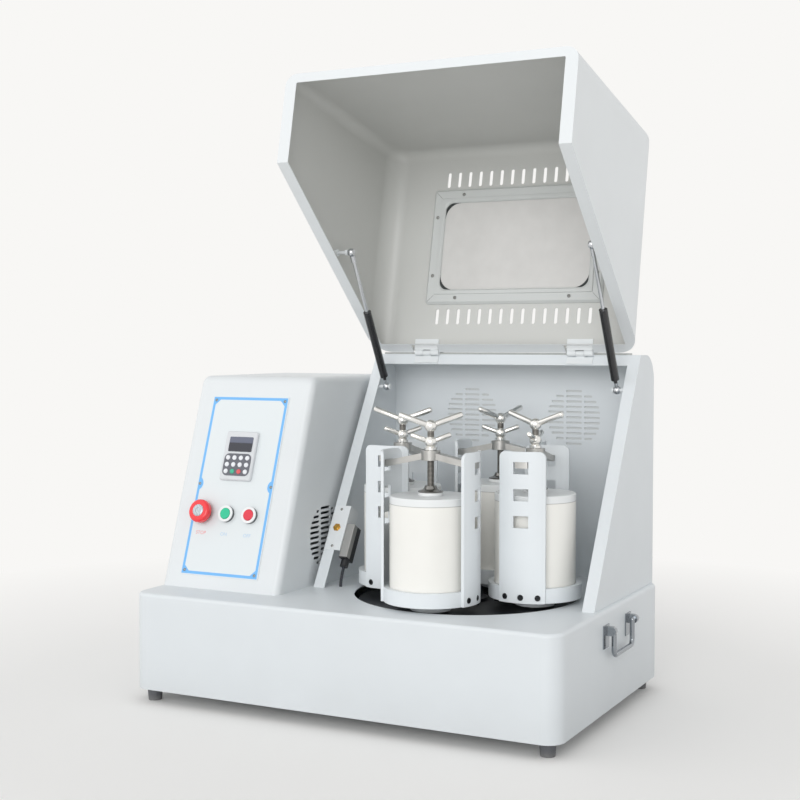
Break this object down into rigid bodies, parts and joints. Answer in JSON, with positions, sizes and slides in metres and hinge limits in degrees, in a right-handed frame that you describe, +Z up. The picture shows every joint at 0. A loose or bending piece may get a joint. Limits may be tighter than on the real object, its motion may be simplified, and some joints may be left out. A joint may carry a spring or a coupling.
{
  "type": "planetary ball mill",
  "caption": "Bench-top planetary ball mill: base cabinet, slanted control enclosure, and a jar chamber with turntable, clamps and a hinged, windowed lid held up by gas struts.",
  "frame": {"origin": "on the floor, under the middle of the machine's outline (the cabinet and the air collar behind it)", "axes": "+X to the machine's right as seen from its front, +Y to the rear, +Z up"},
  "size_m": [0.786, 0.534, 1.0267],
  "materials": {
    "white_enamel": "satin grey-white powder coat",
    "table_black": "satin black",
    "foot_rubber": "matt",
    "station_enamel": "satin pale grey coat",
    "stainless": "turned and brushed",
    "jar_cream": "smooth cream white",
    "chrome": "polished",
    "panel_print": "printed panel with a blue border",
    "keypad_grey": "satin pale grey",
    "ring_white": "satin white",
    "stop_red": "glossy red",
    "start_green": "glossy green",
    "brass": "turned",
    "switch_grey": "moulded grey",
    "lead_black": "matt black",
    "strut_black": "gloss black",
    "polished_rod": "polished",
    "drive_alloy": "turned",
    "motor_grey": "semi-gloss grey",
    "belt_black": "matt",
    "pane_clear": "clear sheet"
  },
  "bodies": {
    "cabinet": {"base_housing": "white_enamel", "base_plate": "white_enamel", "rubber_feet": "foot_rubber", "chamber_left_wall": "white_enamel", "chamber_right_wall": "white_enamel", "chamber_back_panel": "white_enamel", "duct_collar": "stainless", "frame_hinges_and_studs": "white_enamel", "control_cover": "white_enamel", "control_panel": "panel_print", "drive_keypad": "keypad_grey", "button_collars": "ring_white", "handle_lugs": "chrome", "switch_bracket": "white_enamel", "limit_switch": "switch_grey", "switch_lead": "lead_black", "bearing_pedestal": "drive_alloy", "drive_motor": "motor_grey", "drive_belt": "belt_black"},
    "turntable": {"turntable_disc": "table_black", "main_shaft": "stainless", "planet_bearings": "drive_alloy", "planet_belts": "belt_black"},
    "motor_rotor": {"motor_pulley": "drive_alloy"},
    "lid": {"lid_shell": "white_enamel", "window_frame": "white_enamel", "window_pane": "pane_clear", "lid_hinges_and_studs": "white_enamel"},
    "strut_tubes": {"strut_cylinders": "strut_black"},
    "strut_rods": {"strut_rods": "polished_rod"},
    "emergency_stop": {"estop_button": "stop_red"},
    "start_button": {"start_button": "start_green"},
    "stop_button": {"stop_button": "stop_red"},
    "left_handle": {"handle_bail_left": "chrome"},
    "right_handle": {"handle_bail_right": "chrome"},
    "lid_plunger": {"switch_plunger": "brass"},
    "station_1": {"pot_holder_1": "station_enamel", "jar_1": "jar_cream", "clamp_bar_1": "stainless"},
    "pressure_foot_1": {"clamp_foot_1": "chrome"},
    "clamp_screw_1": {"clamp_screw_1": "chrome"},
    "lock_nut_1": {"lock_nut_1": "chrome"},
    "station_2": {"pot_holder_2": "station_enamel", "jar_2": "jar_cream", "clamp_bar_2": "stainless"},
    "pressure_foot_2": {"clamp_foot_2": "chrome"},
    "clamp_screw_2": {"clamp_screw_2": "chrome"},
    "lock_nut_2": {"lock_nut_2": "chrome"},
    "station_3": {"pot_holder_3": "station_enamel", "jar_3": "jar_cream", "clamp_bar_3": "stainless"},
    "pressure_foot_3": {"clamp_foot_3": "chrome"},
    "clamp_screw_3": {"clamp_screw_3": "chrome"},
    "lock_nut_3": {"lock_nut_3": "chrome"},
    "station_4": {"pot_holder_4": "station_enamel", "jar_4": "jar_cream", "clamp_bar_4": "stainless"},
    "pressure_foot_4": {"clamp_foot_4": "chrome"},
    "clamp_screw_4": {"clamp_screw_4": "chrome"},
    "lock_nut_4": {"lock_nut_4": "chrome"}
  },
  "joints": [
    {"name": "turntable_spin", "type": "hinge", "parent": "cabinet", "child": "turntable", "pos_m": [0.1225, -0.02201, 0.172], "axis": [0, 0, 1], "continuous": true},
    {"name": "motor_spin", "type": "hinge", "parent": "cabinet", "child": "motor_rotor", "pos_m": [-0.25852, -0.02201, 0.05], "axis": [0, 0, 1], "continuous": true},
    {"name": "station_1_spin", "type": "hinge", "parent": "turntable", "child": "station_1", "pos_m": [0.11499, -0.14474, 0.19], "axis": [0, 0, 1], "continuous": true},
    {"name": "station_2_spin", "type": "hinge", "parent": "turntable", "child": "station_2", "pos_m": [0.24524, -0.02951, 0.19], "axis": [0, 0, 1], "continuous": true},
    {"name": "station_3_spin", "type": "hinge", "parent": "turntable", "child": "station_3", "pos_m": [0.13001, 0.10073, 0.19], "axis": [0, 0, 1], "continuous": true},
    {"name": "station_4_spin", "type": "hinge", "parent": "turntable", "child": "station_4", "pos_m": [-0.00024, -0.0145, 0.19], "axis": [0, 0, 1], "continuous": true},
    {"name": "lid_hinge", "type": "hinge", "parent": "cabinet", "child": "lid", "pos_m": [0.1175, 0.13495, 0.57637], "axis": [1, 0, 0], "range_deg": [0, 102]},
    {"name": "strut_pivot", "type": "hinge", "parent": "cabinet", "child": "strut_tubes", "pos_m": [0.1175, 0.11495, 0.51597], "axis": [1, 0, 0], "range_deg": [0, 110]},
    {"name": "strut_slide", "type": "slide", "parent": "strut_tubes", "child": "strut_rods", "axis": [0, -0.4901, 0.8717], "range_m": [-0.0985, 0]},
    {"name": "clamp_1_travel", "type": "slide", "parent": "station_1", "child": "pressure_foot_1", "axis": [0, 0, 1], "range_m": [0, 0.006]},
    {"name": "clamp_1_turn", "type": "hinge", "parent": "pressure_foot_1", "child": "clamp_screw_1", "pos_m": [0.11499, -0.14474, 0.467], "axis": [0, 0, 1], "range_deg": [0, 1081]},
    {"name": "lock_nut_1_turn", "type": "hinge", "parent": "station_1", "child": "lock_nut_1", "pos_m": [0.11499, -0.14474, 0.442], "axis": [0, 0, 1], "range_deg": [0, 180]},
    {"name": "clamp_2_travel", "type": "slide", "parent": "station_2", "child": "pressure_foot_2", "axis": [0, 0, 1], "range_m": [0, 0.006]},
    {"name": "clamp_2_turn", "type": "hinge", "parent": "pressure_foot_2", "child": "clamp_screw_2", "pos_m": [0.24524, -0.02951, 0.467], "axis": [0, 0, 1], "range_deg": [0, 1081]},
    {"name": "lock_nut_2_turn", "type": "hinge", "parent": "station_2", "child": "lock_nut_2", "pos_m": [0.24524, -0.02951, 0.442], "axis": [0, 0, 1], "range_deg": [0, 180]},
    {"name": "clamp_3_travel", "type": "slide", "parent": "station_3", "child": "pressure_foot_3", "axis": [0, 0, 1], "range_m": [0, 0.006]},
    {"name": "clamp_3_turn", "type": "hinge", "parent": "pressure_foot_3", "child": "clamp_screw_3", "pos_m": [0.13001, 0.10073, 0.467], "axis": [0, 0, 1], "range_deg": [0, 1081]},
    {"name": "lock_nut_3_turn", "type": "hinge", "parent": "station_3", "child": "lock_nut_3", "pos_m": [0.13001, 0.10073, 0.442], "axis": [0, 0, 1], "range_deg": [0, 180]},
    {"name": "clamp_4_travel", "type": "slide", "parent": "station_4", "child": "pressure_foot_4", "axis": [0, 0, 1], "range_m": [0, 0.006]},
    {"name": "clamp_4_turn", "type": "hinge", "parent": "pressure_foot_4", "child": "clamp_screw_4", "pos_m": [-0.00024, -0.0145, 0.467], "axis": [0, 0, 1], "range_deg": [0, 1081]},
    {"name": "lock_nut_4_turn", "type": "hinge", "parent": "station_4", "child": "lock_nut_4", "pos_m": [-0.00024, -0.0145, 0.442], "axis": [0, 0, 1], "range_deg": [0, 180]},
    {"name": "emergency_stop_push", "type": "slide", "parent": "cabinet", "child": "emergency_stop", "axis": [0, 0.9444, -0.3289], "range_m": [0, 0.005]},
    {"name": "start_button_push", "type": "slide", "parent": "cabinet", "child": "start_button", "axis": [0, 0.9444, -0.3289], "range_m": [0, 0.003], "stiffness_N_per_m": 400},
    {"name": "stop_button_push", "type": "slide", "parent": "cabinet", "child": "stop_button", "axis": [0, 0.9444, -0.3289], "range_m": [0, 0.003], "stiffness_N_per_m": 400},
    {"name": "lid_plunger_push", "type": "slide", "parent": "cabinet", "child": "lid_plunger", "axis": [0, 0.8635, -0.5044], "range_m": [0, 0.0024], "stiffness_N_per_m": 400},
    {"name": "left_handle_swing", "type": "hinge", "parent": "cabinet", "child": "left_handle", "pos_m": [-0.38602, -0.00701, 0.151], "axis": [0, 1, 0], "range_deg": [0, 90]},
    {"name": "right_handle_swing", "type": "hinge", "parent": "cabinet", "child": "right_handle", "pos_m": [0.38602, -0.00701, 0.151], "axis": [0, -1, 0], "range_deg": [0, 90]}
  ],
  "couplings": [
    {"joint": "motor_spin", "follows": "turntable_spin", "ratio": 2.5},
    {"joint": "station_1_spin", "follows": "turntable_spin", "ratio": -2},
    {"joint": "station_2_spin", "follows": "turntable_spin", "ratio": -2},
    {"joint": "station_3_spin", "follows": "turntable_spin", "ratio": -2},
    {"joint": "station_4_spin", "follows": "turntable_spin", "ratio": -2},
    {"joint": "strut_pivot", "follows": "lid_hinge", "ratio": 1.0492},
    {"joint": "strut_slide", "follows": "lid_hinge", "m_per_rad": -0.054548},
    {"joint": "clamp_1_turn", "follows": "clamp_1_travel", "rad_per_m": 3141.6},
    {"joint": "clamp_2_turn", "follows": "clamp_2_travel", "rad_per_m": 3141.6},
    {"joint": "clamp_3_turn", "follows": "clamp_3_travel", "rad_per_m": 3141.6},
    {"joint": "clamp_4_turn", "follows": "clamp_4_travel", "rad_per_m": 3141.6}
  ]
}
